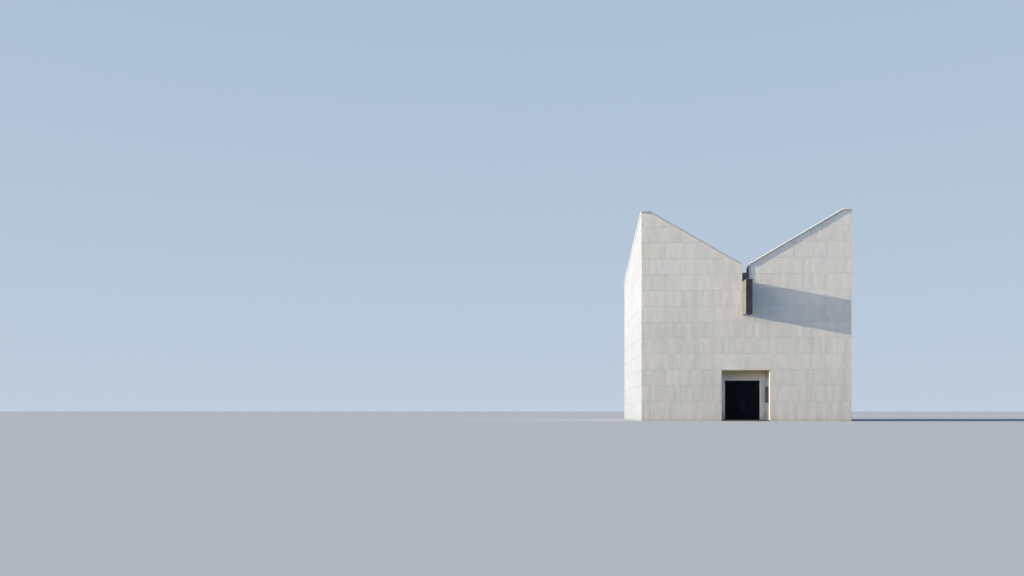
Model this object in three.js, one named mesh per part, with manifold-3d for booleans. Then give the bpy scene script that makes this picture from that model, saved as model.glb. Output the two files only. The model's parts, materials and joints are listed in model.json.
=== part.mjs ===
// Modern church building: a square, hollow nave of white concrete panels under a butterfly roof,
// with a recessed portal, a double door and a rainwater spout at the valley.
// Millimetres. +X is right seen from the front, the front faces -Y and +Z is up.
// The origin is the centre of the plan, on the ground.

import * as THREE from 'three';
import { mergeVertices } from 'three/addons/utils/BufferGeometryUtils.js';
import Module from 'manifold-3d';

// The wall panels set the size of the building
const PANEL_LENGTH = 2400;
const COURSE = 1200;
const BASE_COURSE = 1480;
const PLAN = 6.5 * PANEL_LENGTH;
const FRONT_WALL = 850;
const SIDE_WALL = 650;

// Heights of the wall tops, under the copings
const FRONT_CORNER = 15770;
const BACK_CORNER = 12760;
const FRONT_VALLEY = 11720;
const BACK_VALLEY = 11870;

// Roof, and the beam under its valley
const PARAPET = 550;
const ROOF_DEPTH = 500;
const VALLEY_RISE = 160;
const ROOF_BAYS = 12;
const BEAM_WIDTH = 1090;
const BEAM_DEPTH = 450;

// Slot between the two gables, and the gutter that drains through it
const SLOT = 510;
const SLOT_SILL = 10470;
const GUTTER_BED = 30;
const GUTTER_END = 12;

// Metal coping with a bevelled outer edge
const COPING = 130;
const BEVEL = 40;
const OVERHANG = 45;

// Flashing down both edges of the slot: a flange on the wall and a lip that stands out from it
const FLANGE_WIDTH = 100;
const LIP = 28;
const FLASHING = 12;

// Rainwater spout: a tall box of plates, open at its top and foot
const SPOUT_WIDTH = 480;
const SPOUT_REACH = 1200;
const SPOUT_TOP = 10500;
const SPOUT_FOOT = 7960;
const SPOUT_PLATE = 12;

// Floor, and the portal recess with its back wall
const FLOOR = 80;
const PORTAL_WIDTH = 1.5 * PANEL_LENGTH;
const PORTAL_TOP = BASE_COURSE + 2 * COURSE;
const RECESS = 1130;
const PORTAL_CHEEK = 300;
const PORTAL_CEILING = 250;
const BACK_PANEL = 300;
const DOORWAY_WIDTH = 2620;
const DOORWAY_TOP = 3090;

// Door set
const FRAME_FACE = 60;
const FRAME_DEPTH = 140;
const SILL = 10;
const LEAF = 60;
const RUNNING_GAP = 6;
const PULL_RADIUS = 16;
const PULL_LENGTH = 700;
const PULL_CENTRE = 1150;
const PULL_STANDOFF = 75;
const PULL_INSET = 110;
const POST_RADIUS = 10;
const POST_SPACING = 520;

// Door hinges: a fixed knuckle under each knuckle of the leaf
const KNUCKLE_RADIUS = 10;
const KNUCKLE_HEIGHT = 60;
const KNUCKLE_GAP = 0.5;
const HINGE_PLATE = 6;
const HINGE_PLATE_WIDTH = 43;
const HINGE_OFFSET = 13;
const HINGE_HEIGHTS = { lower: 300, upper: 2700 };

// Notice case on the right side of the recess
const NOTICE_DEPTH = 80;
const NOTICE_LENGTH = 650;
const NOTICE_SETBACK = 400;
const NOTICE_FOOT = 1400;
const NOTICE_HEIGHT = 1200;

// Gap kept between sloping faces that would otherwise touch
const SEAT_GAP = 0.3;

// Places that follow from the sizes above
const HALF = PLAN / 2;
const INNER_X = HALF - SIDE_WALL;
const INNER_Y = HALF - FRONT_WALL;
const SLOT_HALF = SLOT / 2;
const VALLEY_EDGE = FRONT_VALLEY - PARAPET;
const FALL = (FRONT_CORNER - BACK_CORNER) / PLAN;
const PORTAL_HALF = PORTAL_WIDTH / 2;
const DOORWAY_HALF = DOORWAY_WIDTH / 2;
const DOOR_FACE = -HALF + RECESS;
const PIVOT_X = DOORWAY_HALF - FRAME_FACE - RUNNING_GAP / 2;
const PIVOT_Y = DOOR_FACE - HINGE_OFFSET;
const SIDES = { left: -1, right: 1 };

const wasm = await Module();
wasm.setup();

const church = new THREE.Group();

// Finishes

const concrete = () => new THREE.MeshStandardMaterial({ color: 0xe9e8e3, roughness: 0.85 });
const deck = () => new THREE.MeshStandardMaterial({ color: 0x8d9092, roughness: 0.9 });
const coping = () => new THREE.MeshStandardMaterial({ color: 0xb4bcc0, roughness: 0.45, metalness: 0.8 });
const spoutMetal = () => new THREE.MeshStandardMaterial({ color: 0x77746d, roughness: 0.55, metalness: 0.7 });
const doorPaint = () => new THREE.MeshStandardMaterial({ color: 0x0b0f15, roughness: 0.5 });
const steel = () => new THREE.MeshStandardMaterial({ color: 0x6f747a, roughness: 0.35, metalness: 0.9 });
const casePaint = () => new THREE.MeshStandardMaterial({ color: 0x4b5158, roughness: 0.5, metalness: 0.3 });
const floorStone = () => new THREE.MeshStandardMaterial({ color: 0x9a978f, roughness: 0.8 });

// Shapes

// Adds one named piece to the building.
function piece(name, geometry, material) {
  const mesh = new THREE.Mesh(geometry, material);
  mesh.name = name;
  church.add(mesh);
  return mesh;
}

// A plain block between two corners, moved to its place by its mesh.
function block(name, low, high, material) {
  const size = high.map((value, axis) => value - low[axis]);
  const mesh = piece(name, new THREE.BoxGeometry(...size), material);
  mesh.position.set(...high.map((value, axis) => (value + low[axis]) / 2));
  return mesh;
}

// The span between two distances from the middle, on the left or the right, from low to high.
function span(side, near, far) {
  return side < 0 ? [-far, -near] : [near, far];
}

// A block whose underside and top follow height functions over a grid of its plan.
function moulded(xs, ys, lower, upper) {
  const columns = xs.length - 1;
  const rows = ys.length - 1;
  const geometry = new THREE.BoxGeometry(1, 1, 1, columns, rows, 1);
  const position = geometry.attributes.position;
  for (let i = 0; i < position.count; i += 1) {
    const x = xs[Math.round((position.getX(i) + 0.5) * columns)];
    const y = ys[Math.round((position.getY(i) + 0.5) * rows)];
    const height = position.getZ(i) > 0 ? upper : lower;
    position.setXYZ(i, x, y, height(x, y));
  }
  geometry.computeVertexNormals();
  return geometry;
}

// A closed shape as a solid that can be joined to others.
function solid(geometry) {
  const bare = geometry.clone();
  bare.deleteAttribute('normal');
  bare.deleteAttribute('uv');
  const merged = mergeVertices(bare, 0.001);
  return new wasm.Manifold(new wasm.Mesh({
    numProp: 3,
    vertProperties: new Float32Array(merged.attributes.position.array),
    triVerts: new Uint32Array(merged.index.array),
  }));
}

// Several overlapping shapes as one closed shape.
function joined(...geometries) {
  const whole = geometries.map(solid).reduce((sum, next) => sum.add(next));
  const mesh = whole.getMesh();
  const geometry = new THREE.BufferGeometry();
  geometry.setAttribute('position', new THREE.BufferAttribute(mesh.vertProperties, 3));
  geometry.setIndex(new THREE.BufferAttribute(mesh.triVerts, 1));
  geometry.computeVertexNormals();
  return geometry;
}

// A box between two corners, and an upright or forward rod, as shapes to join.
function box(low, high) {
  const size = high.map((value, axis) => value - low[axis]);
  const middle = high.map((value, axis) => (value + low[axis]) / 2);
  return new THREE.BoxGeometry(...size).translate(...middle);
}

function uprightRod(x, y, foot, top, radius) {
  const rod = new THREE.CylinderGeometry(radius, radius, top - foot, 16);
  return rod.rotateX(Math.PI / 2).translate(x, y, (foot + top) / 2);
}

function forwardRod(x, front, back, z, radius) {
  const rod = new THREE.CylinderGeometry(radius, radius, back - front, 12);
  return rod.translate(x, (front + back) / 2, z);
}

// Heights over the plan

// Top of a side wall: it falls steadily from the front corner to the back corner.
function sideTop(x, y) {
  return FRONT_CORNER - FALL * (y + HALF);
}

// Top of the front gables: down from the side walls to the slot.
function frontTop(x, y) {
  const slope = (FRONT_CORNER - FRONT_VALLEY) / (INNER_X - SLOT_HALF);
  return sideTop(x, y) - slope * (INNER_X - Math.abs(x));
}

// Top of the back wall: a shallow V.
function backTop(x, y) {
  const slope = (BACK_CORNER - BACK_VALLEY) / INNER_X;
  return sideTop(x, y) - slope * (INNER_X - Math.abs(x));
}

// Roof surface: ruled between the side wall and the valley, which rises gently to the back.
function roofTop(x, y) {
  const valley = VALLEY_EDGE + VALLEY_RISE * (y + INNER_Y) / (2 * INNER_Y);
  const across = (Math.abs(x) - SLOT_HALF) / (INNER_X - SLOT_HALF);
  return THREE.MathUtils.lerp(valley, sideTop(x, y) - PARAPET, across);
}

// Underside of the roof: level where it bears on the valley beam, then ruled up to the side wall.
function roofUnderside(x, y) {
  const bearing = BEAM_WIDTH / 2;
  const across = Math.max(0, (Math.abs(x) - bearing) / (INNER_X - bearing));
  return THREE.MathUtils.lerp(SLOT_SILL, sideTop(x, y) - PARAPET - ROOF_DEPTH, across);
}

// Walls

function buildWalls() {
  for (const [word, side] of Object.entries(SIDES)) {
    const ground = () => 0;
    const sill = () => SLOT_SILL;

    const sideWall = moulded(span(side, INNER_X, HALF), [-HALF, HALF], ground, sideTop);
    piece(`${word}_wall`, sideWall, concrete());

    const [outer, jamb] = span(side, PORTAL_HALF, INNER_X);
    block(`front_wall_${word}`, [outer, -HALF, 0], [jamb, -INNER_Y, PORTAL_TOP], concrete());

    const gable = moulded(span(side, SLOT_HALF, INNER_X), [-HALF, -INNER_Y], sill, frontTop);
    piece(`front_gable_${word}`, gable, concrete());

    const back = moulded(span(side, 0, INNER_X), [INNER_Y, HALF], ground, backTop);
    piece(`back_wall_${word}`, back, concrete());
  }
  const middleLow = [-INNER_X, -HALF, PORTAL_TOP];
  block('front_wall_middle', middleLow, [INNER_X, -INNER_Y, SLOT_SILL], concrete());
}

// Roof and gutter

function buildRoof() {
  const bearing = BEAM_WIDTH / 2;
  const bay = (2 * INNER_Y) / ROOF_BAYS;
  const rows = Array.from({ length: ROOF_BAYS + 1 }, (_, i) => -INNER_Y + bay * i);
  const columns = [SLOT_HALF];
  for (let i = 0; i <= ROOF_BAYS / 2; i += 1) {
    columns.push(bearing + ((INNER_X - bearing) * i) / (ROOF_BAYS / 2));
  }
  for (const [word, side] of Object.entries(SIDES)) {
    const xs = side < 0 ? columns.map((x) => -x).reverse() : columns;
    piece(`roof_${word}`, moulded(xs, rows, roofUnderside, roofTop), deck());
  }
  const beamLow = [-bearing, -INNER_Y, SLOT_SILL - BEAM_DEPTH];
  block('valley_beam', beamLow, [bearing, INNER_Y, SLOT_SILL], concrete());

  const bedTop = SLOT_SILL + GUTTER_BED;
  block('gutter_bed', [-SLOT_HALF, -HALF, SLOT_SILL], [SLOT_HALF, INNER_Y, bedTop], spoutMetal());
  const endHigh = [SLOT_HALF, -HALF + GUTTER_END, VALLEY_EDGE];
  block('gutter_end_plate', [-SLOT_HALF, -HALF, bedTop], endHigh, spoutMetal());
}

// Copings and slot flashings

// A coping on a wall top: its edges on the given sides of its plan are bevelled.
function capped(xs, ys, height, bevelled) {
  const columns = withBevels(xs, bevelled.x ?? []);
  const rows = withBevels(ys, bevelled.y ?? []);
  const onBevel = (x, y) => (
    (bevelled.x ?? []).includes(x) || (bevelled.y ?? []).includes(y)
  );
  const underside = (x, y) => height(x, y) + SEAT_GAP;
  const top = (x, y) => underside(x, y) + COPING - (onBevel(x, y) ? BEVEL : 0);
  return moulded(columns, rows, underside, top);
}

// A range with one more place inside each of its bevelled ends.
function withBevels([low, high], bevelled) {
  const inside = bevelled.map((end) => (end === low ? low + BEVEL : high - BEVEL));
  return [low, ...inside, high].sort((a, b) => a - b);
}

function buildCopings() {
  const eaves = HALF + OVERHANG;
  const [front, back] = [-eaves, eaves];
  for (const [word, side] of Object.entries(SIDES)) {
    const bevelled = { x: [side * eaves], y: [front, back] };
    const sideCap = capped(span(side, INNER_X, eaves), [front, back], sideTop, bevelled);
    piece(`coping_${word}`, sideCap, coping());

    const overGable = span(side, SLOT_HALF, INNER_X);
    const frontCap = capped(overGable, [front, -INNER_Y], frontTop, { y: [front] });
    piece(`coping_front_${word}`, frontCap, coping());

    const backCap = capped(span(side, 0, INNER_X), [INNER_Y, back], backTop, { y: [back] });
    piece(`coping_back_${word}`, backCap, coping());
  }
}

function buildFlashings() {
  const foot = () => SLOT_SILL + GUTTER_BED;
  for (const [word, side] of Object.entries(SIDES)) {
    const onWall = span(side, SLOT_HALF, SLOT_HALF + FLANGE_WIDTH);
    const flange = moulded(onWall, [-HALF - FLASHING, -HALF], foot, frontTop);
    const atSlot = span(side, SLOT_HALF, SLOT_HALF + FLASHING);
    const lip = moulded(atSlot, [-HALF - LIP, -HALF], foot, frontTop);
    piece(`slot_flashing_${word}`, joined(flange, lip), coping());
  }
}

// Spout

function buildSpout() {
  const reach = -HALF - SPOUT_REACH;
  const inner = SPOUT_WIDTH / 2 - SPOUT_PLATE;
  for (const [word, side] of Object.entries(SIDES)) {
    const [low, high] = span(side, inner, SPOUT_WIDTH / 2);
    block(`spout_${word}`, [low, reach, SPOUT_FOOT], [high, -HALF, SPOUT_TOP], spoutMetal());
  }
  const frontHigh = [inner, reach + SPOUT_PLATE, SPOUT_TOP];
  block('spout_front', [-inner, reach, SPOUT_FOOT], frontHigh, spoutMetal());
}

// Floor and portal

function buildPortal() {
  block('floor_slab', [-INNER_X, -INNER_Y, 0], [INNER_X, INNER_Y, FLOOR], floorStone());
  block('portal_floor', [-PORTAL_HALF, -HALF, 0], [PORTAL_HALF, -INNER_Y, FLOOR], floorStone());

  const back = DOOR_FACE + BACK_PANEL;
  for (const [word, side] of Object.entries(SIDES)) {
    const [cheekLow, cheekHigh] = span(side, PORTAL_HALF, PORTAL_HALF + PORTAL_CHEEK);
    block(`portal_cheek_${word}`, [cheekLow, -INNER_Y, FLOOR], [cheekHigh, back, PORTAL_TOP], concrete());
    const [backLow, backHigh] = span(side, DOORWAY_HALF, PORTAL_HALF);
    block(`portal_back_${word}`, [backLow, DOOR_FACE, FLOOR], [backHigh, back, PORTAL_TOP], concrete());
  }
  const lintelLow = [-DOORWAY_HALF, DOOR_FACE, DOORWAY_TOP];
  block('portal_lintel', lintelLow, [DOORWAY_HALF, back, PORTAL_TOP], concrete());

  const ceilingHalf = PORTAL_HALF + PORTAL_CHEEK;
  const ceilingHigh = [ceilingHalf, back, PORTAL_TOP + PORTAL_CEILING];
  block('portal_ceiling', [-ceilingHalf, -INNER_Y, PORTAL_TOP], ceilingHigh, concrete());

  const noticeY = -HALF + NOTICE_SETBACK;
  const noticeLow = [PORTAL_HALF - NOTICE_DEPTH, noticeY, NOTICE_FOOT];
  const noticeHigh = [PORTAL_HALF, noticeY + NOTICE_LENGTH, NOTICE_FOOT + NOTICE_HEIGHT];
  block('notice_case', noticeLow, noticeHigh, casePaint());
}

// Doors

// One half of a hinge: a knuckle and the plate that holds it to the frame or the leaf.
function hingeHalf(side, foot, towards, plateBack) {
  const top = foot + KNUCKLE_HEIGHT;
  const axis = side * PIVOT_X;
  const end = axis + towards * HINGE_PLATE_WIDTH;
  const low = [Math.min(axis, end), DOOR_FACE - HINGE_PLATE, foot];
  const high = [Math.max(axis, end), plateBack, top];
  return [box(low, high), uprightRod(axis, PIVOT_Y, foot, top, KNUCKLE_RADIUS)];
}

function buildFrame() {
  const frameBack = DOOR_FACE + FRAME_DEPTH;
  const clear = DOORWAY_HALF - FRAME_FACE;
  for (const [word, side] of Object.entries(SIDES)) {
    const [low, high] = span(side, clear, DOORWAY_HALF);
    block(`door_frame_${word}`, [low, DOOR_FACE, FLOOR], [high, frameBack, DOORWAY_TOP], doorPaint());
    for (const [level, foot] of Object.entries(HINGE_HEIGHTS)) {
      piece(`hinge_${word}_${level}`, joined(...hingeHalf(side, foot, side, DOOR_FACE)), steel());
    }
  }
  const headLow = [-clear, DOOR_FACE, DOORWAY_TOP - FRAME_FACE];
  block('door_frame_head', headLow, [clear, frameBack, DOORWAY_TOP], doorPaint());
  block('door_sill', [-clear, DOOR_FACE, FLOOR], [clear, frameBack, FLOOR + SILL], steel());
}

function buildLeaves() {
  const foot = FLOOR + SILL + RUNNING_GAP;
  const top = DOORWAY_TOP - FRAME_FACE - RUNNING_GAP;
  const hung = DOORWAY_HALF - FRAME_FACE - RUNNING_GAP;
  for (const [word, side] of Object.entries(SIDES)) {
    const [low, high] = span(side, RUNNING_GAP / 2, hung);
    const knuckles = Object.values(HINGE_HEIGHTS).flatMap((height) => (
      hingeHalf(side, height + KNUCKLE_HEIGHT + KNUCKLE_GAP, -side, DOOR_FACE + 1)
    ));
    const slab = box([low, DOOR_FACE, foot], [high, DOOR_FACE + LEAF, top]);
    piece(`door_leaf_${word}`, joined(slab, ...knuckles), doorPaint());

    const x = side * PULL_INSET;
    const bar = DOOR_FACE - PULL_STANDOFF;
    const barFoot = PULL_CENTRE - PULL_LENGTH / 2;
    const posts = [-1, 1].map((end) => (
      forwardRod(x, bar, DOOR_FACE, PULL_CENTRE + (end * POST_SPACING) / 2, POST_RADIUS)
    ));
    const grip = uprightRod(x, bar, barFoot, barFoot + PULL_LENGTH, PULL_RADIUS);
    piece(`door_pull_${word}`, joined(grip, ...posts), steel());
  }
}

buildWalls();
buildRoof();
buildCopings();
buildFlashings();
buildSpout();
buildPortal();
buildFrame();
buildLeaves();

export default church;
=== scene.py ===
# Looks of the modern church building: white panels, a butterfly roof, a spout, a dark double door.
# Metres, in the frame of the solids: +X is right seen from the front, the front faces -Y, +Z is up.

import json
import math
import random

import bmesh
import bpy
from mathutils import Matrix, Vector

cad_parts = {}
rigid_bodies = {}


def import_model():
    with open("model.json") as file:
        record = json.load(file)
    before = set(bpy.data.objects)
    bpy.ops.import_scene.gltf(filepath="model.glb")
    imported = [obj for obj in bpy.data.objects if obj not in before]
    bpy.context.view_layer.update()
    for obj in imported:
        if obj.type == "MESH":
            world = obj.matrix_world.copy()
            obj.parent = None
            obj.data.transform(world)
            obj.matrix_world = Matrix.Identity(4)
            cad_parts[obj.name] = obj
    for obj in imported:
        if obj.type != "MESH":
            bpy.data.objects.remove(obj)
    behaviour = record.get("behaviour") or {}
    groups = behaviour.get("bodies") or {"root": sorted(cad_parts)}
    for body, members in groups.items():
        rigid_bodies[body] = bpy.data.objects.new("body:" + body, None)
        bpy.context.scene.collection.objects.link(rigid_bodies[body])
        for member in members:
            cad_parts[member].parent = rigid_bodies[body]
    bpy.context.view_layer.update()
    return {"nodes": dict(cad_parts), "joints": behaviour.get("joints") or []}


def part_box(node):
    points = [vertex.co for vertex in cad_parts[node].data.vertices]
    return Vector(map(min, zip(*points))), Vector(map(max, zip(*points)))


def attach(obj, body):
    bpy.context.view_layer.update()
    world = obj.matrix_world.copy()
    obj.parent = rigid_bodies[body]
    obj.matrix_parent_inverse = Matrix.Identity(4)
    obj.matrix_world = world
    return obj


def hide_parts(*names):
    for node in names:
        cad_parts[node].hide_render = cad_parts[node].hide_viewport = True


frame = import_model()

BODY = "building"
SIDES = {"left": -1, "right": 1}
NEAR = 0.001
HAIR = 0.0005
SEAT = 0.0003
SHARP = math.radians(30)
FLAT = math.radians(1)


# Sizes read from the solids

def height_of(node, x, y, pick=max):
    """The highest or lowest point of a solid over one corner of its plan."""
    found = [
        v.co.z for v in frame["nodes"][node].data.vertices
        if abs(v.co.x - x) < NEAR and abs(v.co.y - y) < NEAR
    ]
    return pick(found)


HALF = -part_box("left_wall")[0].x
INNER_X = -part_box("left_wall")[1].x
INNER_Y = -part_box("front_wall_middle")[1].y
FRONT_CORNER = height_of("right_wall", HALF, -HALF)
BACK_CORNER = height_of("right_wall", HALF, HALF)
SLOT_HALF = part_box("front_gable_right")[0].x
FRONT_VALLEY = height_of("front_gable_right", SLOT_HALF, -HALF)
BACK_VALLEY = height_of("back_wall_right", 0, HALF)
SLOT_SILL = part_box("front_gable_right")[0].z
GUTTER_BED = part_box("gutter_bed")[1].z
PORTAL_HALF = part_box("portal_floor")[1].x
PORTAL_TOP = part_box("portal_ceiling")[0].z
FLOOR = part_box("portal_floor")[1].z
DOOR_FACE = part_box("portal_lintel")[0].y
CEILING_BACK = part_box("portal_ceiling")[1].y
CEILING_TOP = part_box("portal_ceiling")[1].z
CHEEK_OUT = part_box("portal_cheek_right")[1].x
BEAM_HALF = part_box("valley_beam")[1].x
ROOF_CORNERS = {
    (x, y): height_of("roof_right", x, y)
    for x in (SLOT_HALF, INNER_X) for y in (-INNER_Y, INNER_Y)
}
SOFFIT_CORNERS = {y: height_of("roof_right", INNER_X, y, min) for y in (-INNER_Y, INNER_Y)}
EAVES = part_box("coping_right")[1].x

# Wall panels
COURSE = 1.2
BASE_COURSE = 1.48
PANEL = 2.4
FIRST_JOINTS = (1.8, 0.6)
JOINT = 0.012
RELIEF = 0.015
CHAMFER = 0.004
SMALLEST_PANEL = 0.02
COURSES = 13
SLOT_COURSE = 8
SEEDS = {"front": 11, "back": 12, "left": 13, "right": 15, "portal": 21}

# From a distance along a wall, a height and a depth to a point
ON_WALL = {
    "front": lambda u, z, depth: (u, -HALF + depth, z),
    "back": lambda u, z, depth: (-u, HALF - depth, z),
    "left": lambda u, z, depth: (-HALF + depth, -u, z),
    "right": lambda u, z, depth: (HALF - depth, u, z),
}


# Node trees

def sums(operation):
    """Two methods of a socket: its maths with another value, and the reflected form."""
    return (
        lambda self, other=0.0: self.maths(operation, self, other),
        lambda self, other: self.maths(operation, other, self),
    )


class Socket:
    """One socket of a node tree, so that its maths is written as sums."""

    __add__, __radd__ = sums("ADD")
    __sub__, __rsub__ = sums("SUBTRACT")
    __mul__, __rmul__ = sums("MULTIPLY")
    __truediv__, __rtruediv__ = sums("DIVIDE")
    __mod__, __rmod__ = sums("MODULO")
    floor = sums("FLOOR")[0]
    absolute = sums("ABSOLUTE")[0]
    above = sums("GREATER_THAN")[0]

    def __init__(self, graph, socket):
        self.graph = graph
        self.socket = socket

    def maths(self, operation, first, second):
        return self.graph.node("ShaderNodeMath", {0: first, 1: second}, operation=operation)


class Graph:
    """A node tree under construction."""

    def __init__(self, tree):
        self.tree = tree

    def node(self, kind, sockets=(), output=0, **named):
        """A node with its settings, named in lower case, and its sockets, listed or capitalised."""
        made = self.tree.nodes.new(kind)
        sockets = dict(sockets)
        for name, value in named.items():
            if name == "stops":
                self.set_stops(made.color_ramp, value)
            elif name[0].islower():
                setattr(made, name, value)
            else:
                sockets[name.replace("_", " ")] = value
        for name, value in sockets.items():
            if isinstance(value, Socket):
                self.tree.links.new(value.socket, made.inputs[name])
            else:
                made.inputs[name].default_value = value
        return Socket(self, made.outputs[output]) if made.outputs else None

    @staticmethod
    def set_stops(ramp, stops):
        while len(ramp.elements) < len(stops):
            ramp.elements.new(0.5)
        for element, (position, value) in zip(ramp.elements, stops):
            element.position = position
            element.color = (value, value, value, 1)

    def vector(self, x=0.0, y=0.0, z=0.0):
        return self.node("ShaderNodeCombineXYZ", X=x, Y=y, Z=z)

    def part(self, vector, letter):
        return self.node("ShaderNodeSeparateXYZ", output=letter, Vector=vector)

    def between(self, first, second, share):
        """A place between two."""
        sockets = {0: share, 4: first, 5: second}
        return self.node("ShaderNodeMix", sockets, output=1, data_type="VECTOR")

    def blend(self, first, second, share):
        """A colour between two, each a socket or three numbers."""
        ends = [c if isinstance(c, Socket) else (*c, 1) for c in (first, second)]
        sockets = {0: share, 6: ends[0], 7: ends[1]}
        return self.node("ShaderNodeMix", sockets, output=2, data_type="RGBA")


class Recipe(Graph):
    """A finish under construction, on the coordinates of the building."""

    def __init__(self, name, **fixed_values):
        self.material = bpy.data.materials.new(name)
        self.material.use_nodes = True
        super().__init__(self.material.node_tree)
        self.shader = self.tree.nodes["Principled BSDF"]
        for socket, value in fixed_values.items():
            self.shader.inputs[socket.replace("_", " ")].default_value = value
        self.place = self.node("ShaderNodeTexCoord", output="Object")

    def feed(self, socket, value):
        self.tree.links.new(value.socket, self.shader.inputs[socket])

    def finished(self, colour, roughness):
        self.feed("Base Color", colour)
        self.feed("Roughness", roughness)
        return self.material

    def noise(self, scale, detail=2.0, stretch=(1, 1, 1), shift=0.0, drift=None):
        """Noise on the building's coordinates; a drift moves it from one panel to the next."""
        start = (shift, shift * 0.7, shift * 0.4)
        if drift is not None:
            start = self.vector(drift * 37.0 + shift, drift * 23.0, drift * 11.0)
        moved = self.node("ShaderNodeMapping", Vector=self.place, Scale=stretch, Location=start)
        return self.node("ShaderNodeTexNoise", Vector=moved, Scale=scale, Detail=detail)

    def ramp(self, value, stops):
        return self.node("ShaderNodeValToRGB", stops=stops, Fac=value)

    def axis(self, letter):
        return self.part(self.place, letter)

    def tone(self):
        return self.node("ShaderNodeAttribute", output="Fac", attribute_name="tone")

    def bump(self, height, distance, strength):
        sockets = {"Height": height, "Distance": distance, "Strength": strength}
        self.feed("Normal", self.node("ShaderNodeBump", sockets, output="Normal"))


class Growth(Graph):
    """A tree of geometry nodes with named sizes, grown into a plain mesh."""

    def __init__(self, name, **sizes):
        super().__init__(bpy.data.node_groups.new(name, "GeometryNodeTree"))
        ports = self.tree.interface
        for kind, labels in dict(sizes, Material="Finish").items():
            for label in labels.split():
                ports.new_socket(label, in_out="INPUT", socket_type="NodeSocket" + kind)
        ports.new_socket("Geometry", in_out="OUTPUT", socket_type="NodeSocketGeometry")

    def size(self, label):
        return self.node("NodeGroupInput", output=label)

    def place(self):
        return self.node("GeometryNodeInputPosition")

    def moved(self, geometry, **sockets):
        return self.node("GeometryNodeSetPosition", Geometry=geometry, **sockets)

    def close(self, geometry):
        """Ends the tree: instances become real and get their finish."""
        whole = self.node("GeometryNodeRealizeInstances", Geometry=geometry)
        finished = self.node("GeometryNodeSetMaterial", Geometry=whole, Material=self.size("Finish"))
        self.node("NodeGroupOutput", Geometry=finished)
        return self

    def grow(self, shell, **sizes):
        """Sets the named sizes and adds what the tree makes of them to a shell."""
        plan = bpy.data.meshes.new(self.tree.name)
        holder = placed(self.tree.name, plan)
        modifier = holder.modifiers.new("growth", "NODES")
        modifier.node_group = self.tree
        sizes.setdefault("Finish", shell.finish)
        for port in self.tree.interface.items_tree:
            if port.in_out == "INPUT":
                modifier[port.identifier] = sizes[port.name]
        depsgraph = bpy.context.evaluated_depsgraph_get()
        mesh = bpy.data.meshes.new_from_object(holder.evaluated_get(depsgraph))
        holder.modifiers.remove(modifier)
        bpy.data.objects.remove(holder)
        bpy.data.meshes.remove(plan)
        shell.take(mesh)


# Meshes

def placed(name, data):
    obj = bpy.data.objects.new(name, data)
    bpy.context.scene.collection.objects.link(obj)
    return obj


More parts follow.
